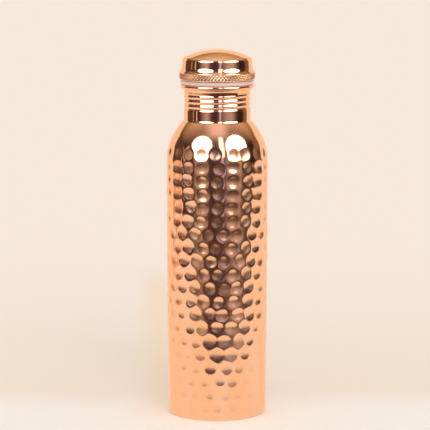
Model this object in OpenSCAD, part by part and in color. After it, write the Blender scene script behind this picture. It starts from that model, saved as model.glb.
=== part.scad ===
// Hammered copper water bottle with a knurled screw lid.
// Millimetres, +Z up. The origin is the middle of the base, level with the surface it stands on.
// Every copper piece is pressed or spun from sheet, so most modules give the outline of the outer
// face and let the sheet follow it. The hammering and the knurling are surface finish, so they
// are left off these solids.

/* [Body] */
// Outer radius where the shoulder begins
body_r = 37; // [34:0.1:40]
// Outer radius at the foot, from which the wall swells a little
foot_r = 35.8; // [33:0.1:39]
// Outer radius of the turned-in bottom edge
foot_round = 3; // [2:0.1:4]
// Width of the flat ring that the bottle stands on
foot_flat = 2; // [1:0.1:4]
// Height at which the shoulder begins
shoulder_z = 186.5; // [160:0.5:200]
// Radius of the shoulder's curve
shoulder_round = 41.5; // [36:0.5:46]
// Thickness of the copper sheet
sheet_t = 0.6; // [0.5:0.05:0.8]

/* [Neck] */
// Outer radius of the plain neck
neck_r = 24.2; // [22:0.1:26]
// Inside radius of the curve between shoulder and neck
neck_fillet = 3.5; // [2:0.1:5]
// Height of the top of the lip
mouth_z = 242.8; // [240:0.1:246]
// Outer radius of the rolled lip
lip_r = 26.8; // [26:0.1:28]
// Radius of the rolled lip's own round edge
lip_round = 1.6; // [1.3:0.1:1.6]

/* [Thread] */
// Rise for one turn of the lid
pitch = 3.5; // [3:0.1:4]
// Depth of the rolled thread
thread_depth = 0.6; // [0.5:0.05:0.8]
// Radial clearance between the two threads
thread_gap = 0.25; // [0.2:0.01:0.4]
// Lowest height of the threaded zone
thread_z0 = 223.5; // [223:0.5:227]
// Highest height of the threaded zone
thread_z1 = 237; // [235:0.5:238]

/* [Lid] */
// Thickness of the silicone gasket
gasket_t = 2.8; // [2:0.1:4]
// Outer radius of the gasket
gasket_r = 26.7; // [26:0.05:27.2]
// Outer radius of the knurled skirt
knurl_r = 27.65; // [27.2:0.05:28.5]
// Height of the knurled skirt
skirt_h = 6.1; // [5:0.1:8]
// Radius of the hollow curve between skirt and band
flare_round = 8; // [5:0.1:10]
// Outer radius of the plain band where it meets that curve
band_low_r = 25.75; // [25:0.05:26.5]
// Outer radius of the plain band under the dome
band_high_r = 25.45; // [24.5:0.05:26]
// Radius of the rounded edge between band and dome
dome_edge = 3.2; // [1:0.1:5]
// Radius of the dome
dome_round = 53; // [45:0.5:70]
// Overall height, bottle and lid
total_h = 268; // [264:0.5:272]

/* [Base] */
// Thickness of the base pan
base_t = 0.8; // [0.6:0.05:1]
// How far the middle of the base is raised off the table
base_lift = 3; // [1:0.1:5]
// Height of the pan's rim inside the wall
pan_rim_z = 7; // [5:0.1:10]

/* [Hidden] */
$fn = 96;

copper = "#d98a5b";
dull_copper = "#b8744c";
braze_gold = "#d9c07a";
solder_grey = "#b9bcc0";
silicone = "#efe6e6";

arc_steps = 8;              // straight pieces in a small arc
shoulder_steps = 20;        // straight pieces in the shoulder's curve
wall_steps = 8;             // straight pieces in the swelling wall
dome_steps = 12;            // straight pieces in the dome
fit_gap = 0.1;              // clearance round a piece that drops into another
touch = 0.05;               // clearance between faces that press together

thread_sides = 36;          // flat sides round a threaded tube
turn_rows = 10;             // rings of a threaded tube in one pitch
thread_fade = 2.2;          // height over which a thread rises from nothing at its ends
seam_h = 0.3;               // how far a threaded tube runs into the plain sheet at its ends
seam_step = 0.04;           // how much thinner than the sheet it is there, on each side
crest_z = 231.2;            // height of one crest of the thread at the front, along -Y

plug_r = neck_r - sheet_t - thread_depth - thread_gap;  // root of the plug's thread
plug_z = 222;                                           // underside of the plug
plug_round = 1.2;
cap_z = mouth_z + gasket_t;                             // underside of the cap's rolled edge
cap_edge_r = 24.4;                                      // inner radius of that edge
flange_z = cap_z + sheet_t + touch;                     // underside of the plug's flange
flange_r = 25.4;
skirt_round = 2.1;
skirt_corner = 0.65;
skirt_z = cap_z + skirt_h;

// ---- outlines ----

// Points of an arc of radius r round [cx, cz], from angle a0 to angle a1.
function arc(cx, cz, r, a0, a1, steps = arc_steps) =
    [for (i = [0:steps]) let (a = a0 + (a1 - a0) * i / steps) [cx + r * cos(a), cz + r * sin(a)]];

function heading(p, q) = (q - p) / norm(q - p);

// Step from point i of polyline p to the face of a sheet of unit thickness on its left.
function side(p, i) =
    let (last = len(p) - 1,
         before = heading(p[max(i, 1) - 1], p[max(i, 1)]),
         after = heading(p[min(i, last - 1)], p[min(i, last - 1) + 1]),
         along = before + after)
    [-along[1], along[0]] * 2 / (along * along);

// Polyline p without the points that repeat the one before.
function distinct(p) = [for (i = [0:len(p) - 1]) if (i == 0 || norm(p[i] - p[i - 1]) > 0.001) p[i]];

// Outline of a sheet of thickness t that lies on the left of the polyline p, held off the axis.
function sheet_outline(p, t) =
    concat(p, [for (i = [len(p) - 1:-1:0]) let (q = p[i] + t * side(p, i)) [max(q[0], 0), q[1]]]);

// A sheet turned round the axis, with its outer face on the polyline p.
module spun(p, t = sheet_t) {
    rotate_extrude() polygon(sheet_outline(distinct(p), t));
}

// ---- the rolled thread ----

// Rises smoothly from 0 at the two ends of the threaded zone to 1 inside it.
function fade(z) =
    let (u = min(1, max(0, min(z - thread_z0, thread_z1 - z) / thread_fade))) u * u * (3 - 2 * u);

// One ring of points at height z. Its centre stands off the axis by swing and goes round once in
// each pitch as it climbs, which makes a smooth right-hand thread.
function thread_ring(z, r, swing) =
    let (a = 360 * (z - crest_z) / pitch - 90)
    [for (i = [0:thread_sides - 1])
        let (b = 360 * i / thread_sides)
        [r * cos(b) + swing * cos(a), r * sin(b) + swing * sin(a), z]];

// Faces that join ring k to ring k + 1, for the rings from first to last, seen from outside.
function skin(first, last) =
    [for (k = [first:last - 1], i = [0:thread_sides - 1])
        let (a = k * thread_sides + i,
             b = k * thread_sides + (i + 1) % thread_sides,
             up = thread_sides)
        each [[a, a + up, b + up], [a, b + up, b]]];

// Threaded tube: plain_r is its plain outer radius, from which the thread stands out (side 1) or
// is rolled inwards (side -1).
module threaded_tube(plain_r, side) {
    rows = ceil((thread_z1 - thread_z0) / pitch * turn_rows);
    heights = concat([thread_z0 - seam_h],
        [for (k = [0:rows]) thread_z0 + (thread_z1 - thread_z0) * k / rows],
        [thread_z1 + seam_h]);
    half = thread_depth / 2;
    outer_r = plain_r - seam_step;
    inner_r = plain_r - sheet_t + seam_step;
    outer = [for (z = heights) thread_ring(z, outer_r + side * half * fade(z), half * fade(z))];
    inner = [for (i = [len(heights) - 1:-1:0])
        let (z = heights[i]) thread_ring(z, inner_r + side * half * fade(z), half * fade(z))];
    rings = concat(outer, inner, [outer[0]]);
    count = len(heights);
    // The rings go up the outside and down the inside, so one closed skin covers the tube.
    points = [for (i = [0:2 * count - 1]) each rings[i]];
    closing = [for (i = [0:thread_sides - 1])
        let (j = (i + 1) % thread_sides, top = (2 * count - 1) * thread_sides)
        each [[top + i, i, j], [top + i, j, top + j]]];
    polyhedron(points = points, faces = concat(skin(0, 2 * count - 1), closing));
}

// ---- the bottle ----

// Outer radius of the wall at height z, below the shoulder.
function wall_r(z) = body_r - (body_r - foot_r) * pow(1 - z / shoulder_z, 2);

// Shell: turned-in foot, swelling wall, shoulder, threaded neck and rolled lip in one sheet.
module bottle_shell() {
    shoulder_x = body_r - shoulder_round;
    fillet_x = neck_r + neck_fillet;
    reach = shoulder_round + neck_fillet;
    tilt = acos((fillet_x - shoulder_x) / reach);
    below = concat(
        [[foot_r - foot_round - foot_flat, 0]],
        arc(wall_r(foot_round) - foot_round, foot_round, foot_round, -90, 0),
        [for (i = [1:wall_steps - 1])
            let (z = foot_round + (shoulder_z - foot_round) * i / wall_steps) [wall_r(z), z]],
        arc(shoulder_x, shoulder_z, shoulder_round, 0, tilt, shoulder_steps),
        arc(fillet_x, shoulder_z + reach * sin(tilt), neck_fillet, 180 + tilt, 180),
        [[neck_r, thread_z0]]);
    // The lip's path runs backwards: from its edge up the outside, over and down into the neck.
    lip_x = lip_r - lip_round;
    inside_r = neck_r - sheet_t;
    lip_z = mouth_z - lip_round;
    lip = concat(
        [[neck_r + fit_gap, lip_z - lip_round]],
        arc(lip_x, lip_z, lip_round, -90, 90, 2 * arc_steps),
        arc(inside_r + lip_round, lip_z, lip_round, 90, 180),
        [[inside_r, thread_z1]]);
    color(copper) union() {
        spun(below);
        threaded_tube(neck_r, -1);
        spun(lip);
    }
}

// Base: a pan inside the foot, with its middle raised clear of the table.
module base_pan() {
    rim_r = foot_r - sheet_t - fit_gap;
    floor_z = sheet_t + touch;
    corner = foot_round - sheet_t;
    step_r = foot_r - foot_round - foot_flat - 1;
    path = concat(
        [[0, floor_z + base_lift]],
        arc(step_r - 4, floor_z + base_lift - 2, 2, 90, 45, 4),
        arc(step_r, floor_z + 2, 2, 225, 270, 4),
        arc(rim_r - corner, floor_z + corner, corner, -90, 0),
        [[rim_r, pan_rim_z]]);
    color(dull_copper) spun(path, base_t);
}

// Ring of braze that seals the pan's rim to the wall.
module base_braze_ring() {
    rim_r = foot_r - sheet_t - fit_gap;
    z = pan_rim_z + touch;
    color(braze_gold) rotate_extrude()
        polygon([[rim_r - base_t, z], [rim_r, z], [rim_r + fit_gap, z + 0.3],
            [rim_r + fit_gap, z + 1.4]]);
}

// ---- the lid ----

// Cap: dome, band, flare and skirt, with its bottom edge rolled in under the plug's flange.
module lid_cap() {
    // The flare leaves the skirt's corner smoothly and ends upright at the band.
    flare_x = band_low_r + flare_round;
    corner_x = knurl_r - skirt_corner;
    corner_z = skirt_z - skirt_corner;
    flare_angle = acos((flare_x - corner_x) / (flare_round + skirt_corner));
    flare_z = corner_z + (flare_round + skirt_corner) * sin(flare_angle);
    // The dome's edge touches both the band, which leans in by a few degrees, and the dome.
    lean = 4;
    edge_x = band_high_r - dome_edge * cos(lean);
    dome_low = total_h - dome_round;
    edge_z = dome_low + sqrt(pow(dome_round - dome_edge, 2) - edge_x * edge_x);
    dome_angle = acos(edge_x / (dome_round - dome_edge));
    path = concat(
        [[cap_edge_r, cap_z]],
        arc(knurl_r - skirt_round, cap_z + skirt_round, skirt_round, -90, 0),
        arc(corner_x, corner_z, skirt_corner, 0, flare_angle, 3),
        arc(flare_x, flare_z, flare_round, 180 + flare_angle, 180),
        arc(edge_x, edge_z, dome_edge, lean, dome_angle),
        arc(0, dome_low, dome_round, dome_angle, 90, dome_steps));
    color(copper) spun(path);
}

// Plug: a drawn cup with the thread rolled into its wall and a flange at its mouth.
module lid_plug() {
    below = concat(
        [[0, plug_z]],
        arc(plug_r - plug_round, plug_z + plug_round, plug_round, -90, 0),
        [[plug_r, thread_z0]]);
    above = concat(
        [[plug_r, thread_z1]],
        arc(plug_r + 1, flange_z - 1, 1, 180, 90),
        [[flange_r, flange_z]]);
    color(copper) union() {
        spun(below);
        threaded_tube(plug_r, 1);
        spun(above);
    }
}

// Ring of solder that holds the plug's flange in the cap.
module lid_solder_ring() {
    z = flange_z + sheet_t + touch;
    wall = knurl_r - sheet_t - fit_gap;
    color(solder_grey) rotate_extrude()
        polygon([[flange_r - 1.2, z], [flange_r, z], [wall, z + 0.9], [wall, z + 2.4]]);
}

// Gasket: a soft ring round the plug, pressed between the cap and the lip.
module lid_gasket() {
    low = mouth_z + touch;
    high = cap_z - touch;
    hole_r = plug_r + 0.15;
    round = 0.7;
    color(silicone) rotate_extrude() polygon(concat(
        [[hole_r, low]],
        arc(gasket_r - round, low + round, round, -90, 0),
        arc(gasket_r - round, high - round, round, 0, 90),
        [[hole_r, high]]));
}

bottle_shell();
base_pan();
base_braze_ring();
lid_cap();
lid_plug();
lid_solder_ring();
lid_gasket();
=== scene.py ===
import math
import bmesh
import bpy
import numpy as np
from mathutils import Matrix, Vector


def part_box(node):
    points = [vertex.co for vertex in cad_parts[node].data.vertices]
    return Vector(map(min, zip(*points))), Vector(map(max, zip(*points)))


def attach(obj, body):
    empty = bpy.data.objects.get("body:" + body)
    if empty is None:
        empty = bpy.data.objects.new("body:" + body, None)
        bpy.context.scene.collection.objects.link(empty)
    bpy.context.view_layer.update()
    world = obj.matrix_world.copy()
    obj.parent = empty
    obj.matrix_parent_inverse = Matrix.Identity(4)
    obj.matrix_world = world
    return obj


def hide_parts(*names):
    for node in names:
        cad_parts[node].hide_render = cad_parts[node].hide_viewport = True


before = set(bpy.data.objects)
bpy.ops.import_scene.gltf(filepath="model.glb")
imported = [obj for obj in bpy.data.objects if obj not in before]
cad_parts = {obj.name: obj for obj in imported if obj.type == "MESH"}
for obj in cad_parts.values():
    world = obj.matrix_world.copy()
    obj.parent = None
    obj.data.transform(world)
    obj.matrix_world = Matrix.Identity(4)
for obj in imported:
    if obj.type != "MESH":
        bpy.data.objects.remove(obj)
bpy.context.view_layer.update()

# ---------------------------------------------------------------------------------------------
# Sizes, in millimetres. The outer sizes come from the frame; the others are those of the CAD part.
# ---------------------------------------------------------------------------------------------
MM = 0.001

# Points of an outline nearer than this to each other, or to the axis, count as touching it.
TOUCHING = 1e-6


def size_mm(node):
    """Outer radius, lowest height and highest height of a CAD piece."""
    low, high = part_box(node)
    return high[0] / MM, low[2] / MM, high[2] / MM


BODY_R, _, MOUTH_Z = size_mm("bottle_shell")
KNURL_R, CAP_Z, TOTAL_H = size_mm("lid_cap")
FLANGE_R, PLUG_Z, PLUG_TOP = size_mm("lid_plug")
GASKET_R, GASKET_LOW, GASKET_HIGH = size_mm("lid_gasket")
PAN_R, PAN_Z, PAN_RIM_Z = size_mm("base_pan")
SOLDER_R, SOLDER_Z, SOLDER_TOP = size_mm("lid_solder_ring")
BRAZE_R, BRAZE_Z, BRAZE_TOP = size_mm("base_braze_ring")

SHEET = 0.6
PAN_SHEET = 0.8
FOOT_R = 35.8
FOOT_ROUND = 3.0
FOOT_FLAT = 2.0
SHOULDER_Z = 186.5
SHOULDER_ROUND = 41.5
NECK_R = 24.2
NECK_FILLET = 3.5
LIP_R = 26.8
LIP_ROUND = 1.6

PITCH = 3.5
THREAD_DEPTH = 0.6
THREAD_GAP = 0.25
THREAD_LOW = 223.5
THREAD_HIGH = 237.0
THREAD_FADE = 2.2
CREST_Z = 231.2
PLUG_R = NECK_R - SHEET - THREAD_DEPTH - THREAD_GAP

# The hammering. The spreads are of chance: sideways and in turns as parts of a dimple's share of
# the row, upwards in millimetres, size and depth as parts of themselves.
DIMPLES_ROUND = 21
DIMPLE_ROWS = 20
DIMPLE_FIRST = 10.4
DIMPLE_SPACING = 9.7
DIMPLE_DEPTH = 0.78
DIMPLE_R = 4.5
DIMPLE_RIM = 0.3
DIMPLE_REACH = -1.5
STAGGERED_ROWS = 14
FRONT_TURN = -0.25
SHALLOW_BELOW = 75.0
SHALLOWEST = 0.47
SIDE_SPREAD = 0.075
HEIGHT_SPREAD = 0.4
SIZE_SPREAD = 0.05
DEPTH_SPREAD = 0.17
TURN_SPREAD = 0.09

KNURLS_ROUND = 68
KNURL_DEPTH = 0.52
KNURL_EASE = 0.4
COLUMNS_PER_KNURL = 6

# How fine the meshes are: columns round the axis, and the distance between the wall's points.
SHELL_COLUMNS = 240
FINE_COLUMNS = 144
RING_COLUMNS = 96
OUTER_STEP = 0.98
INNER_STEP = 4.5
SKIRT_STEP = 0.26
PLUG_STEP = 0.5


# ---------------------------------------------------------------------------------------------
# Outlines: arrays of (radius, height)
# ---------------------------------------------------------------------------------------------
def arc(cx, cz, radius, start, end, steps=8):
    """Points of an arc round (cx, cz), from angle start to angle end in degrees."""
    a = np.radians(np.linspace(start, end, steps + 1))
    return np.column_stack([cx + radius * np.cos(a), cz + radius * np.sin(a)])


def spaced(outline, step):
    """The same polyline with points at even distances along it, about step apart."""
    run = np.concatenate([[0], np.cumsum(np.hypot(*np.diff(outline, axis=0).T))])
    at = np.linspace(0, run[-1], max(2, round(run[-1] / step) + 1))
    return np.column_stack([np.interp(at, run, outline[:, 0]), np.interp(at, run, outline[:, 1])])


def joined(*runs):
    """One polyline from several, without the points that they share."""
    whole = np.concatenate([np.atleast_2d(np.asarray(run, float)) for run in runs])
    keep = np.concatenate([[True], np.hypot(*np.diff(whole, axis=0).T) > TOUCHING])
    return whole[keep]


def normals(outline):
    """Unit normals on the right of the polyline, each from the points on both sides of it."""
    along = np.gradient(outline, axis=0)
    along /= np.hypot(*along.T)[:, None]
    return np.column_stack([along[:, 1], -along[:, 0]])


def doubled(outer, thickness):
    """Closed outline of a sheet: out along its outer face and back along its inner face."""
    inner = outer - thickness * normals(outer)
    inner[:, 0] = np.maximum(inner[:, 0], 0)
    return np.concatenate([outer, inner[::-1]])


# ---------------------------------------------------------------------------------------------
# Meshes
# ---------------------------------------------------------------------------------------------
def turned(name, outline, columns, move=None, crisp=None):
    """A closed outline turned round the axis. Point (i, j) is outline point i at angle
    2 pi j / columns. Where move is given, move(angles) has how far each point goes along the
    outline's normal in millimetres, and a mark from 0 to 1 that the material reads. Faces from
    the outline points where crisp is true are flat, and the others are smooth."""
    angles = np.arange(columns) * 2 * math.pi / columns
    plain = np.zeros((len(outline), columns))
    out, mark = (plain, plain) if move is None else move(angles)
    closed = np.concatenate([outline[-1:], outline, outline[:1]])
    normal = normals(closed)[1:-1]
    radius = outline[:, :1] + normal[:, :1] * out
    height = outline[:, 1:] + normal[:, 1:] * out
    radius = np.where(outline[:, :1] < TOUCHING, 0, radius)
    grid = np.stack([radius * np.cos(angles), radius * np.sin(angles), height], axis=-1) * MM
    rows = np.arange(len(outline))[:, None]
    up = (rows + 1) % len(outline)
    cols = np.arange(columns)[None, :]
    right = (cols + 1) % columns
    quads = np.stack([rows * columns + cols, rows * columns + right,
                      up * columns + right, up * columns + cols], axis=-1)
    mesh = bpy.data.meshes.new(name)
    mesh.from_pydata(grid.reshape(-1, 3).tolist(), [], quads.reshape(-1, 4).tolist())
    flat = np.zeros(len(outline), bool) if crisp is None else crisp
    mesh.polygons.foreach_set("use_smooth", np.repeat(~flat, columns))
    if move is not None:
        mesh.attributes.new("mark", "FLOAT", "POINT").data.foreach_set("value", mark.ravel())
    if outline[:, 0].min() < TOUCHING:
        close_poles(mesh)
    mesh.update()
    piece = bpy.data.objects.new(name, mesh)
    bpy.context.scene.collection.objects.link(piece)
    return piece


def close_poles(mesh):
    """Merges the points that meet on the axis, which turns the squares there into triangles."""
    merge_distance = 1e-7
    work = bmesh.new()
    work.from_mesh(mesh)
    bmesh.ops.remove_doubles(work, verts=work.verts, dist=merge_distance)
    work.to_mesh(mesh)
    work.free()


# ---------------------------------------------------------------------------------------------
# Relief: the rolled thread, the hammering and the knurl
# ---------------------------------------------------------------------------------------------
def thread_swing(angles, heights):
    """The thread's fade, from 0 at its zone's ends to 1 inside it, and its wave, from -1 at its
    roots to 1 at its crests: the cosine of the angle from the crest, which goes round once in
    each pitch."""
    inside = np.minimum(heights - THREAD_LOW, THREAD_HIGH - heights) / THREAD_FADE
    inside = np.clip(inside, 0, 1)
    fade = inside * inside * (3 - 2 * inside)
    crest = 2 * math.pi * (heights - CREST_Z) / PITCH - math.pi / 2
    wave = np.cos(angles[None, :] - crest[:, None])
    return fade[:, None], wave


def dimples(angles, reach, radii):
    """Depth of the hammering at each angle and each distance along the wall. Each blow leaves a
    round hollow, 1 less the square of the distance from its middle, which eases into the wall
    over DIMPLE_RIM and is left out below DIMPLE_REACH. The blows stand in rows, of which the lower
    ones are staggered, and each is a little out of place."""
    rng = np.random.default_rng(7)
    shape = (DIMPLE_ROWS, DIMPLES_ROUND)
    aside = rng.normal(0, SIDE_SPREAD, shape)
    along = rng.normal(0, HEIGHT_SPREAD, shape)
    width = DIMPLE_R * rng.normal(1, SIZE_SPREAD, shape)
    length = DIMPLE_R * rng.normal(1, SIZE_SPREAD, shape)
    heavy = np.clip(np.arange(DIMPLE_ROWS) * DIMPLE_SPACING / SHALLOW_BELOW, SHALLOWEST, 1)
    depth = DIMPLE_DEPTH * rng.normal(1, DEPTH_SPREAD, shape) * heavy[:, None]
    stagger = 0.5 * (np.arange(DIMPLE_ROWS) % 2) * (np.arange(DIMPLE_ROWS) < STAGGERED_ROWS)
    row_turn = rng.normal(0, TURN_SPREAD, DIMPLE_ROWS) + stagger + FRONT_TURN
    cell = 2 * math.pi / DIMPLES_ROUND
    nearest_row = np.round((reach - DIMPLE_FIRST) / DIMPLE_SPACING).astype(int)
    total = np.zeros((len(reach), len(angles)))
    for row_step in (-1, 0, 1):
        row = nearest_row + row_step
        real = (row >= 0) & (row < DIMPLE_ROWS)
        row = np.clip(row, 0, DIMPLE_ROWS - 1)
        place = angles[None, :] / cell - row_turn[row][:, None]
        for column_step in (-1, 0, 1):
            column = np.round(place).astype(int) + column_step
            blow = (row[:, None], column % DIMPLES_ROUND)
            across = (place - column - aside[blow]) * cell * radii[:, None]
            up = (reach - DIMPLE_FIRST - row * DIMPLE_SPACING)[:, None] - along[blow]
            bowl = 1 - (across / width[blow]) ** 2 - (up / length[blow]) ** 2
            hollow = depth[blow] * 0.5 * (bowl + np.sqrt(bowl ** 2 + DIMPLE_RIM ** 2))
            within = real[:, None] & (bowl > DIMPLE_REACH)
            total = np.maximum(total, np.where(within, hollow, 0))
    return total


def knurl(angles, heights, low, high):
    """Diamond knurl: two sets of grooves cross, and between them stand small pyramids, whose
    height is the distance to the nearest groove. It gives the depth, from 0 to 1 in the grooves,
    and how much of the knurl there is, which falls to 0 at the skirt's edges."""
    around = angles[None, :] * KNURLS_ROUND / (2 * math.pi)
    rise = (heights[:, None] - low) * KNURLS_ROUND / (2 * math.pi * KNURL_R)
    one = np.abs((around + rise + 0.5) % 1 - 0.5)
    other = np.abs((around - rise + 0.5) % 1 - 0.5)
    edge = np.clip(np.minimum(heights - low, high - heights) / KNURL_EASE, 0, 1)[:, None]
    return (1 - 2 * np.minimum(one, other)) * edge, edge + 0 * around


# ---------------------------------------------------------------------------------------------
# The bottle
# ---------------------------------------------------------------------------------------------
def wall_r(z):
    """Outer radius of the wall below the shoulder: it swells by a parabola."""
    return BODY_R - (BODY_R - FOOT_R) * (1 - z / SHOULDER_Z) ** 2


def shell_outline():
    """The shell's closed outline, its run up the outer face, the run that its inner face follows
    back down, and the number of points in the lip between them."""
    shoulder_x = BODY_R - SHOULDER_ROUND
    reach = SHOULDER_ROUND + NECK_FILLET
    fillet_x = NECK_R + NECK_FILLET
    tilt = math.degrees(math.acos((fillet_x - shoulder_x) / reach))
    fillet_z = SHOULDER_Z + reach * math.sin(math.radians(tilt))
    z = np.linspace(FOOT_ROUND, SHOULDER_Z, 40)
    foot = joined([[FOOT_R - FOOT_ROUND - FOOT_FLAT, 0]],
                  arc(wall_r(FOOT_ROUND) - FOOT_ROUND, FOOT_ROUND, FOOT_ROUND, -90, 0, 7))
    wall = joined(np.column_stack([wall_r(z), z]),
                  arc(shoulder_x, SHOULDER_Z, SHOULDER_ROUND, 0, tilt, 60))
    neck = joined(arc(fillet_x, fillet_z, NECK_FILLET, 180 + tilt, 180, 7), [[NECK_R, THREAD_LOW]])
    thread = np.array([[NECK_R, THREAD_LOW], [NECK_R, THREAD_HIGH]])
    outer = joined(foot, spaced(wall, OUTER_STEP), neck, spaced(thread, PITCH / 12))
    inner = joined(foot, spaced(wall, INNER_STEP), neck, spaced(thread, PITCH / 7))
    lip_x = LIP_R - LIP_ROUND
    lip = joined([[NECK_R, MOUTH_Z - 2 * LIP_ROUND - 0.1]],
                 arc(lip_x, MOUTH_Z - LIP_ROUND, LIP_ROUND, -90, 90, 12),
                 arc(NECK_R - SHEET + LIP_ROUND, MOUTH_Z - LIP_ROUND, LIP_ROUND, 90, 180, 6))
    inside = (inner - SHEET * normals(inner))[::-1]
    outline = np.concatenate([outer, lip, inside])
    return outline, outer, inner[::-1], len(lip)


def run_along(face):
    """Distance of each point along a face, counted so that it is FOOT_ROUND at the wall's foot."""
    steps = np.hypot(*np.diff(face, axis=0).T)
    run = np.concatenate([[0], np.cumsum(steps)])
    start = np.interp(FOOT_ROUND, face[:, 1], run)
    return run - start + FOOT_ROUND


def make_shell():
    """Foot, wall, shoulder, neck with a rolled thread, and lip. The hammering and the thread are
    pressed through the sheet, so they show on its inner face as well."""
    outline, outer, inner, lip_points = shell_outline()

    def relief(angles, face):
        fade, wave = thread_swing(angles, face[:, 1])
        blows = dimples(angles, run_along(face), face[:, 0])
        return -THREAD_DEPTH * fade * 0.5 * (1 - wave) - blows, blows / DIMPLE_DEPTH

    def move(angles):
        front, struck = relief(angles, outer)
        back, struck_back = relief(angles, inner[::-1])
        lip = np.zeros((lip_points, len(angles)))
        return (np.concatenate([front, lip, -back[::-1]]),
                np.concatenate([struck, lip, struck_back[::-1]]))

    return turned("hammered_shell", outline, SHELL_COLUMNS, move)


def make_base_pan():
    """The pan's middle is lifted by a step of two bends, and its rim stands inside the shell."""
    corner = FOOT_ROUND - SHEET
    lift = 3.0
    bend = 2.0
    flat_r = 8.0
    step_r = FOOT_R - FOOT_ROUND - FOOT_FLAT - 1
    outer = joined([[0, PAN_Z + lift]],
                   [[flat_r, PAN_Z + lift]],
                   arc(step_r - 2 * bend, PAN_Z + lift - bend, bend, 90, 45, 6),
                   arc(step_r, PAN_Z + bend, bend, 225, 270, 6),
                   arc(PAN_R - corner, PAN_Z + corner, corner, -90, 0, 10),
                   [[PAN_R, PAN_RIM_Z]])
    return turned("pressed_base_pan", doubled(outer, PAN_SHEET), FINE_COLUMNS)


def make_base_braze():
    """A thin ring of braze between the pan's rim and the shell, with a hollowed top."""
    width = 0.9
    hollow_r = 0.5
    hollow_off = 0.2
    outline = joined([[BRAZE_R - width, BRAZE_Z]], [[BRAZE_R - 0.1, BRAZE_Z]],
                     [[BRAZE_R, BRAZE_Z + 0.3]], [[BRAZE_R, BRAZE_TOP]],
                     arc(BRAZE_R + hollow_off, BRAZE_TOP + hollow_off, hollow_r, 205, 240, 3))
    return turned("base_braze_fillet", outline, FINE_COLUMNS)


# ---------------------------------------------------------------------------------------------
# The lid
# ---------------------------------------------------------------------------------------------
def make_cap():
    """One sheet: rolled edge, knurled skirt with round corners, hollow flare, leaning band, rounded
    edge and dome. Each run meets the next one smoothly."""
    skirt_h = 6.1
    skirt_round = 2.1
    corner = 0.65
    flare_round = 8.0
    band_low = 25.75
    band_high = 25.45
    lean = math.radians(4)
    edge_round = 3.2
    dome_round = 53.0
    rolled_r = 24.4
    knurl_margin = 1.6
    skirt_z = CAP_Z + skirt_h
    flare_x = band_low + flare_round
    reach = flare_round + corner
    flare_angle = math.degrees(math.acos((flare_x - KNURL_R + corner) / reach))
    flare_z = skirt_z - corner + reach * math.sin(math.radians(flare_angle))
    edge_x = band_high - edge_round * math.cos(lean)
    dome_low = TOTAL_H - dome_round
    edge_z = dome_low + math.sqrt((dome_round - edge_round) ** 2 - edge_x ** 2)
    dome_angle = math.degrees(math.acos(edge_x / (dome_round - edge_round)))
    knurl_r = KNURL_R - knurl_margin
    knurl_low = CAP_Z + 0.6
    knurl_high = skirt_z - corner * 0.6
    skirt = joined([[rolled_r, CAP_Z]],
                   arc(KNURL_R - skirt_round, CAP_Z + skirt_round, skirt_round, -90, 0, 12),
                   arc(KNURL_R - corner, skirt_z - corner, corner, 0, flare_angle, 4))
    crown = joined(arc(flare_x, flare_z, flare_round, 180 + flare_angle, 180, 10),
                   arc(edge_x, edge_z, edge_round, math.degrees(lean), dome_angle, 9),
                   arc(0, dome_low, dome_round, dome_angle, 90, 18))
    outer = joined(spaced(skirt, SKIRT_STEP), crown)
    inner = joined(skirt, crown)[::-1]
    inner_face = inner + SHEET * normals(inner)
    inner_face[:, 0] = np.maximum(inner_face[:, 0], 0)
    outline = np.concatenate([outer, inner_face])

    def move(angles):
        depth, amount = knurl(angles, outer[:, 1], knurl_low, knurl_high)
        near = ((outer[:, 0] > knurl_r) & (outer[:, 1] < knurl_high))[:, None]
        inside = np.zeros((len(inner_face), len(angles)))
        return (np.concatenate([-KNURL_DEPTH * depth * near, inside]),
                np.concatenate([(amount + depth) / 2 * near, inside]))

    in_knurl = (outline[:, 0] > knurl_r) & (outline[:, 1] < knurl_high + 0.1)
    in_knurl[len(outer):] = False
    return turned("knurled_cap", outline, KNURLS_ROUND * COLUMNS_PER_KNURL, move, in_knurl)


def make_plug():
    """A drawn cup with a rolled male thread and a flange at its top."""
    plug_round = 1.2
    flange_round = 1.0
    smooth_z = 240.0
    flange_z = PLUG_TOP - SHEET
    corner = arc(PLUG_R - plug_round, PLUG_Z + plug_round, plug_round, -90, 0, 10)
    thread = np.array([[PLUG_R, THREAD_LOW], [PLUG_R, THREAD_HIGH]])
    outer = joined([[0, PLUG_Z]],
                   spaced(joined(corner, [[PLUG_R, THREAD_LOW]]), PLUG_STEP),
                   spaced(thread, PITCH / 12),
                   [[PLUG_R, smooth_z]],
                   arc(PLUG_R + flange_round, flange_z - flange_round, flange_round, 180, 90, 6),
                   [[FLANGE_R, flange_z]])
    outline = doubled(outer, SHEET)

    def move(angles):
        fade, wave = thread_swing(angles, outer[:, 1])
        crests = THREAD_DEPTH * fade * 0.5 * (1 + wave)
        whole = np.concatenate([crests, -crests[::-1]])
        return whole, np.zeros(whole.shape)

    return turned("threaded_plug", outline, FINE_COLUMNS, move)


def make_solder():
    """The ring of solder between the plug's flange and the cap, with a hollowed top."""
    overlap = 1.2
    hollow_r = 1.6
    outline = joined([[FLANGE_R - overlap, SOLDER_Z]], [[FLANGE_R, SOLDER_Z]],
                     [[SOLDER_R, SOLDER_Z + 0.9]], [[SOLDER_R, SOLDER_TOP]],
                     arc(SOLDER_R + 0.6, SOLDER_TOP + 0.4, hollow_r, 205, 245, 4))
    return turned("lid_solder_fillet", outline, RING_COLUMNS)


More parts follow.
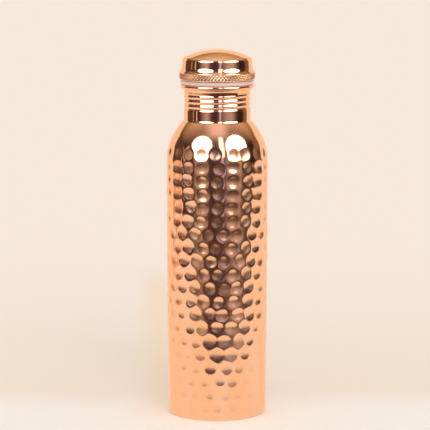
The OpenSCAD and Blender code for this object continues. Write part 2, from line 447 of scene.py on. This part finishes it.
def make_gasket():
    """A flat ring, well rounded outside and a little inside."""
    hole_r = PLUG_R + 0.15
    edge = 0.75
    inner_edge = 0.3
    outline = joined(arc(hole_r + inner_edge, GASKET_LOW + inner_edge, inner_edge, 180, 270, 4),
                     arc(GASKET_R - edge, GASKET_LOW + edge, edge, -90, 0, 7),
                     arc(GASKET_R - edge, GASKET_HIGH - edge, edge, 0, 90, 7),
                     arc(hole_r + inner_edge, GASKET_HIGH - inner_edge, inner_edge, 90, 180, 4))
    return turned("silicone_gasket", outline, FINE_COLUMNS)


# ---------------------------------------------------------------------------------------------
# Materials
# ---------------------------------------------------------------------------------------------
class Wire:
    """A node's output. Python's operators on it add Math nodes."""

    def __init__(self, tree, socket):
        self.tree = tree
        self.socket = socket

    def math(self, operation, *others):
        """A Math node with this output first, and numbers or other outputs after it."""
        return add_node(self.tree, "Math", {"operation": operation},
                        dict(enumerate((self,) + others)))

    def __add__(self, other):
        return self.math("ADD", other)

    def __sub__(self, other):
        return self.math("SUBTRACT", other)

    def __mul__(self, other):
        return self.math("MULTIPLY", other)

    def __rsub__(self, other):
        return self * -1 + other

    def clamped(self):
        """The output kept between 0 and 1."""
        return self.math("MAXIMUM", 0.0).math("MINIMUM", 1.0)


def feed(tree, socket, value):
    """Puts a number, a colour or another node's output into a socket."""
    if isinstance(value, Wire):
        tree.links.new(value.socket, socket)
    else:
        socket.default_value = value


def add_node(tree, kind, settings=None, sockets=None, out=0):
    """Adds a node. Its settings come first, a ramp's stops among them, and then its sockets."""
    node = tree.nodes.new("ShaderNode" + kind)
    for name, value in (settings or {}).items():
        if name != "stops":
            setattr(node, name, value)
            continue
        ramp = node.color_ramp.elements
        while len(ramp) < len(value):
            ramp.new(0.5)
        for stop, (place, colour) in zip(ramp, value):
            stop.position = place
            stop.color = (*colour, 1)
    for name, value in (sockets or {}).items():
        feed(tree, node.inputs[name], value)
    return Wire(tree, node.outputs[out])


def mixed(tree, factor, first, second):
    """A colour mixed from two by a factor."""
    return add_node(tree, "Mix", {"data_type": "RGBA"}, {0: factor, 6: first, 7: second}, out=2)


def finish(name, sockets_of):
    """A material whose main shader takes the sockets that sockets_of(tree, place) gives, where
    place is the object's own coordinates."""
    material = bpy.data.materials.new(name)
    material.use_nodes = True
    tree = material.node_tree
    shader = tree.nodes["Principled BSDF"]
    place = add_node(tree, "TexCoord", out="Object")
    for socket, value in sockets_of(tree, place).items():
        feed(tree, shader.inputs[socket], value)
    return material


def noise(tree, place, scale, detail):
    """Soft noise from 0 to 1."""
    return add_node(tree, "TexNoise", None, {"Vector": place, "Scale": scale, "Detail": detail})


def bumped(tree, height, strength, distance):
    """A normal that follows a height."""
    return add_node(tree, "Bump", None,
                    {"Height": height, "Strength": strength, "Distance": distance})


def copper(name, tint, dull, roughness, uneven, mark_rough=0.0, mark_dark=0.0):
    """Polished copper: faint clouds and streaks, softly uneven polish, fine buffing marks. Where
    the piece's mark is above 0 it is rougher, by mark_rough from a half on, and as the mark goes
    from a half to 1 it is darker, by the amount that the last argument gives: tarnish in the
    grooves together with painted shade where shade falls in them."""
    def sockets_of(tree, place):
        clouds = noise(tree, place, 38.0, 3.0)
        smears = noise(tree, place, 190.0, 4.0)
        stretched = add_node(tree, "Mapping", None, {"Vector": place, "Scale": (900, 900, 90)})
        buffing = noise(tree, stretched, 1.0, 2.0)
        drawn = add_node(tree, "Mapping", None, {"Vector": place, "Scale": (55, 55, 8)})
        streaks = (noise(tree, drawn, 1.0, 1.0) * 5 - 2.3).clamped() * 0.6
        colour = mixed(tree, clouds * 0.5, (*tint, 1), (*dull, 1))
        colour = mixed(tree, streaks, colour, (0.98, 0.60, 0.40, 1))
        rough = smears * uneven + clouds * uneven + (roughness - uneven)
        if mark_rough:
            mark = add_node(tree, "Attribute", {"attribute_name": "mark"}, out="Fac")
            rough = rough + (mark * 2).clamped() * mark_rough
            if mark_dark:
                # Tarnish and painted shade: the knurl's grooves are darkened nearly to black, for
                # the patina that they hold and for the shade that falls in them.
                groove = (mark * 5.5 - 4.2).clamped() * mark_dark
                colour = mixed(tree, groove, colour, (0.03, 0.012, 0.008, 1))
        return {"Base Color": colour, "Roughness": rough, "Metallic": 1.0,
                "Specular Tint": (1.0, 0.86, 0.74, 1),
                "Normal": bumped(tree, buffing, 0.04, 0.0001)}

    return finish(name, sockets_of)


def soft_metal(name, tint, dull, roughness):
    """Braze or solder: cloudy metal with a lumpy surface."""
    def sockets_of(tree, place):
        clouds = noise(tree, place, 260.0, 3.0)
        return {"Base Color": mixed(tree, clouds, (*tint, 1), (*dull, 1)),
                "Roughness": clouds * 0.3 + (roughness - 0.15), "Metallic": 1.0,
                "Normal": bumped(tree, clouds, 0.3, 0.0003)}

    return finish(name, sockets_of)


def silicone(name):
    """Milky silicone: a little light passes into it, and its skin is faintly uneven."""
    def sockets_of(tree, place):
        clouds = noise(tree, place, 120.0, 2.0)
        return {"Base Color": mixed(tree, clouds, (0.76, 0.59, 0.55, 1), (0.86, 0.67, 0.63, 1)),
                "Roughness": clouds * 0.15 + 0.3, "Transmission Weight": 0.12, "IOR": 1.41}

    return finish(name, sockets_of)


# ---------------------------------------------------------------------------------------------
# Studio
# ---------------------------------------------------------------------------------------------
PAPER = (0.905, 0.79, 0.69)
LAMP_ELEVATION = 32.5
LAMP_DISTANCE = 1.3
LAMP_RADIANCE = 5.2
FILL_AZIMUTH = 12
FILL_ELEVATION = 33


def glow(name, colour, strength=1.0):
    """A plain glowing surface, for panels that are seen only in the copper."""
    material = bpy.data.materials.new(name)
    material.use_nodes = True
    tree = material.node_tree
    tree.nodes.clear()
    light = add_node(tree, "Emission", None, {"Color": (*colour, 1), "Strength": strength})
    end = tree.nodes.new("ShaderNodeOutputMaterial")
    tree.links.new(light.socket, end.inputs["Surface"])
    return material


def panel(name, corners, material, camera=False):
    """A flat surface of the studio. It is seen by the camera, or only by what reflects."""
    mesh = bpy.data.meshes.new(name)
    mesh.from_pydata(corners, [], [tuple(range(len(corners)))])
    mesh.materials.append(material)
    board = bpy.data.objects.new(name, mesh)
    bpy.context.scene.collection.objects.link(board)
    board.visible_camera = camera
    board.visible_glossy = not camera
    board.visible_diffuse = camera
    board.visible_transmission = camera
    board.visible_shadow = False


def around(azimuth, elevation, distance, middle=0.15):
    """A place seen from the bottle's middle: azimuth is turned from the camera's side towards
    +X, elevation is above level."""
    a = math.radians(azimuth)
    e = math.radians(elevation)
    return (distance * math.sin(a) * math.cos(e), -distance * math.cos(a) * math.cos(e),
            middle + distance * math.sin(e))


def aimed(azimuth, elevation):
    """The turn that aims a lamp at the bottle from an azimuth and an elevation."""
    return (math.radians(90 - elevation), 0, math.radians(azimuth))


def softbox(name, azimuth, half_width, half_height):
    """An oval lamp aimed at the bottle. Its half width and half height are angles."""
    lamp = bpy.data.lights.new(name, "AREA")
    lamp.shape = "ELLIPSE"
    lamp.size = 2 * LAMP_DISTANCE * math.tan(math.radians(half_width))
    lamp.size_y = 2 * LAMP_DISTANCE * math.tan(math.radians(half_height))
    lamp.energy = LAMP_RADIANCE * math.pi * lamp.size * lamp.size_y * math.pi / 4
    holder = bpy.data.objects.new(name, lamp)
    holder.location = around(azimuth, LAMP_ELEVATION, LAMP_DISTANCE)
    holder.rotation_euler = aimed(azimuth, LAMP_ELEVATION)
    holder.visible_camera = False
    holder.visible_diffuse = False
    bpy.context.scene.collection.objects.link(holder)


def upright(name, azimuth, distance, width, low, high, material):
    """A tall narrow panel that faces the bottle, seen only in the copper."""
    a = math.radians(azimuth)
    x = distance * math.sin(a)
    y = -distance * math.cos(a)
    dx = width / 2 * math.cos(a)
    dy = width / 2 * math.sin(a)
    panel(name, [(x - dx, y - dy, low), (x + dx, y + dy, low),
                 (x + dx, y + dy, high), (x - dx, y - dy, high)], material)


def make_studio():
    """What the copper reflects: the paper that the bottle stands on, whose front edge runs askew,
    with its backdrop, and upright strips of light round the room. Then the floor that the camera
    sees, two oval lamps and a broad fill."""
    half = 1.36
    back = 0.9
    top = 0.85
    paper = glow("paper_glow", PAPER, 1.12)
    front_edge = [(-half, 0, 0), (-0.85, -0.10, 0), (-0.66, -0.41, 0), (0.5, -0.13, 0),
                  (half, -0.29, 0)]
    panel("reflected_paper", front_edge + [(half, back, 0), (-half, back, 0)], paper)
    panel("reflected_backdrop", [(-half, back, 0), (half, back, 0), (half, back, top),
                                 (-half, back, top)], paper)
    strips = [("reflected_window", 10, 1.5, 0.16, -0.06, 0.5, "dim_window", (0.62, 0.56, 0.68)),
              ("reflected_lamp", 11, 1.45, 0.34, 0.5, 2.1, "bright_window", (2.0, 1.9, 2.1)),
              ("reflected_door", -90, 1.3, 0.06, 0.06, 0.6, "door_light", (0.9, 0.55, 0.42)),
              ("reflected_curtain", -75, 1.3, 0.09, 0.06, 0.75, "curtain_light", (1.0, 0.66, 0.5)),
              ("reflected_board", -106, 0.5, 0.2, 0.02, 0.115, "warm_board", (0.9, 0.47, 0.27))]
    for name, azimuth, distance, width, low, high, light, colour in strips:
        upright(name, azimuth, distance, width, low, high, glow(light, colour))
    make_floor()
    softbox("left_softbox", -41, 23, 19)
    softbox("right_softbox", 51, 24, 19)
    fill = bpy.data.lights.new("broad_fill", "SUN")
    fill.angle = math.radians(34)
    fill.energy = 0.6
    holder = bpy.data.objects.new("broad_fill", fill)
    holder.rotation_euler = aimed(FILL_AZIMUTH, FILL_ELEVATION)
    holder.visible_glossy = False
    bpy.context.scene.collection.objects.link(holder)
    make_world()


def make_floor():
    """Pale paper with painted light and shade: lightest where the bottle stands, a painted shade a
    little deeper behind it, then light again further back, and a painted warm shade to the left
    of the bottle for its shadow and the light that the copper throws there. The ramp runs from
    1 m in front of the bottle to 1 m behind it."""
    def sockets_of(tree, place):
        mottle = noise(tree, place, 9.0, 3.0)
        aside = add_node(tree, "SeparateXYZ", None, {0: place})
        behind = add_node(tree, "SeparateXYZ", None, {0: place}, out="Y")
        depth = behind + (mottle - 0.5) * 0.05
        # Painted light and shade: the ramp makes the paper lighter round the bottle, darker just
        # behind it and lighter again further back.
        paper = add_node(tree, "ValToRGB", {"stops": [
            (0.3, (0.905, 0.79, 0.69)), (0.46, (0.915, 0.853, 0.775)), (0.5, (0.915, 0.853, 0.775)),
            (0.535, (0.883, 0.753, 0.633)), (0.63, (0.895, 0.765, 0.65)),
            (0.75, (0.913, 0.79, 0.69)), (0.9, (0.922, 0.80, 0.705))]}, {"Fac": depth * 0.5 + 0.5})
        # Painted warm shade to the left of the bottle: its shadow and the light that the copper
        # throws on the paper.
        near = ((aside + behind * 0.033) * 60 + 3.7).clamped() * (aside * -30).clamped()
        along = (behind * 6 + 0.25).clamped() * (5.2 - behind * 8).clamped()
        paper = mixed(tree, near * along, paper, (0.90, 0.735, 0.565, 1))
        return {"Base Color": paper, "Roughness": 1.0, "Specular IOR Level": 0.0}

    reach = 12.0
    panel("pale_floor", [(-reach, -reach, 0), (reach, -reach, 0), (reach, reach, 0),
                         (-reach, reach, 0)], finish("pale_floor", sockets_of), camera=True)


def make_world():
    """Pale to the camera and as fill light. In the copper it is a dim warm room, lighter under
    the lamps and overhead, with a skylight over the middle."""
    world = bpy.data.worlds.new("studio_room")
    bpy.context.scene.world = world
    world.use_nodes = True
    tree = world.node_tree
    tree.nodes.clear()
    place = add_node(tree, "TexCoord")
    east = add_node(tree, "SeparateXYZ", None, {0: place})
    south = add_node(tree, "SeparateXYZ", None, {0: place}, out="Y") * -1
    height = add_node(tree, "SeparateXYZ", None, {0: place}, out="Z")
    turn = east.math("ARCTAN2", south) * (0.5 / math.pi) + 0.5
    over = height.math("ARCTAN2", south) * (1 / math.pi)
    walls = add_node(tree, "ValToRGB", {"stops": [
        (0.172, (0.10, 0.07, 0.06)), (0.228, (0.10, 0.065, 0.05)), (0.264, (0.05, 0.032, 0.03)),
        (0.328, (0.05, 0.035, 0.04)), (0.356, (0.26, 0.205, 0.20)), (0.403, (0.54, 0.43, 0.42)),
        (0.444, (0.085, 0.05, 0.08)), (0.486, (0.055, 0.03, 0.06)), (0.539, (0.15, 0.11, 0.16)),
        (0.597, (0.46, 0.38, 0.39)), (0.644, (0.52, 0.42, 0.43)), (0.689, (0.12, 0.09, 0.085)),
        (0.717, (0.03, 0.02, 0.02)), (0.772, (0.035, 0.022, 0.02)), (0.80, (0.25, 0.16, 0.11))]},
        {"Fac": turn})
    ceiling = add_node(tree, "ValToRGB", {"stops": [
        (0.0, (0.12, 0.09, 0.08)), (0.28, (0.16, 0.12, 0.125)), (0.48, (0.49, 0.355, 0.32)),
        (0.66, (0.84, 0.67, 0.45)), (1.0, (0.84, 0.67, 0.45))]}, {"Fac": over})
    skylight = add_node(tree, "ValToRGB", {"stops": [
        (0.0, (0.12, 0.09, 0.08)), (0.24, (0.24, 0.18, 0.18)), (0.34, (0.88, 0.74, 0.76)),
        (0.52, (0.98, 0.82, 0.74)), (0.66, (0.86, 0.69, 0.47)), (1.0, (0.86, 0.69, 0.47))]},
        {"Fac": over})
    middle = (1.5 - east.math("ABSOLUTE") * 3.4).clamped()
    ceiling = mixed(tree, middle, ceiling, skylight)
    room = mixed(tree, (height * 2.2 - 0.9).clamped(), walls, ceiling)
    room = mixed(tree, (height * -5.0 - 0.4).clamped(), room, (0.085, 0.047, 0.03, 1))
    to_eye = add_node(tree, "LightPath", out="Is Camera Ray")
    glossy = add_node(tree, "LightPath", out="Is Glossy Ray")
    after_paper = add_node(tree, "LightPath", out="Diffuse Depth")
    fill = mixed(tree, to_eye, (0.9, 0.9, 0.9, 1), (*PAPER, 1))
    pale = mixed(tree, glossy * (1 - after_paper * 0.5).clamped(), fill, room)
    light = add_node(tree, "Background", None, {"Color": pale})
    end = tree.nodes.new("ShaderNodeOutputWorld")
    tree.links.new(light.socket, end.inputs["Surface"])


def make_camera():
    """The eye stands 1.6 m in front and 0.38 m up, and looks a little down."""
    lens = bpy.data.cameras.new("view")
    lens.lens = 184.6
    lens.sensor_width = 36
    lens.clip_end = 60
    camera = bpy.data.objects.new("view", lens)
    camera.location = (-0.0016, -1.6, 0.38)
    look_down = 8.31
    camera.rotation_euler = (math.radians(90 - look_down), 0, 0)
    bpy.context.scene.collection.objects.link(camera)
    bpy.context.scene.camera = camera


# ---------------------------------------------------------------------------------------------
# Assembly
# ---------------------------------------------------------------------------------------------
def fit(piece, node, body, material):
    """Gives a piece its material, and tells the frame which body it rides on, which CAD node it
    replaces and which material slot it fills."""
    piece.data.materials.append(material)
    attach(piece, body)
    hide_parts(node)


BRIGHT_TINT = (0.98, 0.56, 0.33)
WARM_TINT = (0.93, 0.50, 0.28)
lid_copper = copper("mirror_copper", BRIGHT_TINT, WARM_TINT, 0.09, 0.02, 0.28, 1.0)
hammered = copper("hammered_copper", BRIGHT_TINT, WARM_TINT, 0.09, 0.03, 0.14)
hidden = copper("drawn_copper", (0.86, 0.46, 0.28), (0.74, 0.37, 0.22), 0.2, 0.06)
fit(make_shell(), "bottle_shell", "bottle", hammered)
fit(make_base_pan(), "base_pan", "bottle", hidden)
fit(make_base_braze(), "base_braze_ring", "bottle",
    soft_metal("braze_metal", (0.80, 0.62, 0.32), (0.62, 0.45, 0.22), 0.4))
fit(make_cap(), "lid_cap", "lid", lid_copper)
fit(make_plug(), "lid_plug", "lid", hidden)
fit(make_solder(), "lid_solder_ring", "lid",
    soft_metal("solder_metal", (0.70, 0.71, 0.73), (0.5, 0.5, 0.52), 0.4))
fit(make_gasket(), "lid_gasket", "gasket", silicone("milky_silicone"))
make_studio()
make_camera()
bpy.context.scene.view_settings.view_transform = "Standard"
